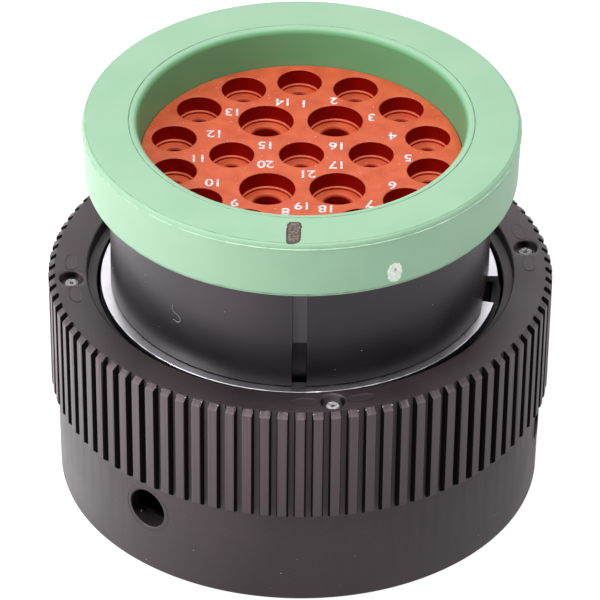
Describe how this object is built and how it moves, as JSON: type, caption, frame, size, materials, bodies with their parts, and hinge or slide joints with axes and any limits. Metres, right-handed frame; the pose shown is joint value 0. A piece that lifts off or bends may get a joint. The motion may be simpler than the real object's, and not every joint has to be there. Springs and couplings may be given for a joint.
{
  "type": "circular connector plug",
  "caption": "Heavy-duty circular connector plug housing: ribbed bayonet coupling ring on a black shell, mint ring adapter, red silicone grommet with wire cavities.",
  "frame": {"origin": "centre of the coupling ring's mating edge, on which the plug stands", "axes": "+Z towards the wires, along the plug's axis; -Y towards the viewer of the picture, +X to the right"},
  "size_m": [0.0574, 0.0574, 0.0468],
  "materials": {
    "ring_plastic": "moulded, finely grained",
    "shell_plastic": "moulded, smooth",
    "adapter_plastic": "satin moulded",
    "silicone": "matt moulded silicone",
    "insulator": "moulded",
    "spring_steel": "rolled bright steel",
    "clip_copper": "plain copper alloy strip"
  },
  "bodies": {
    "plug_body": {"plug_shell": "shell_plastic", "ring_adapter": "adapter_plastic", "rear_grommet": "silicone", "peripheral_seal": "silicone", "rear_insert": "insulator", "front_insert": "insulator", "thrust_washer": "spring_steel", "wave_washer": "spring_steel", "retaining_ring": "spring_steel", "contact_clip_01": "clip_copper", "contact_clip_02": "clip_copper", "contact_clip_03": "clip_copper", "contact_clip_04": "clip_copper", "contact_clip_05": "clip_copper", "contact_clip_06": "clip_copper", "contact_clip_07": "clip_copper", "contact_clip_08": "clip_copper", "contact_clip_09": "clip_copper", "contact_clip_10": "clip_copper", "contact_clip_11": "clip_copper", "contact_clip_12": "clip_copper", "contact_clip_13": "clip_copper", "contact_clip_14": "clip_copper", "contact_clip_15": "clip_copper", "contact_clip_16": "clip_copper", "contact_clip_17": "clip_copper", "contact_clip_18": "clip_copper", "contact_clip_19": "clip_copper", "contact_clip_20": "clip_copper", "contact_clip_21": "clip_copper"},
    "coupling_ring": {"coupling_ring": "ring_plastic"}
  },
  "joints": [
    {"name": "coupling_ring_turn", "type": "hinge", "parent": "plug_body", "child": "coupling_ring", "pos_m": [0, 0, 0.0133], "axis": [0, 0, 1], "continuous": true}
  ]
}
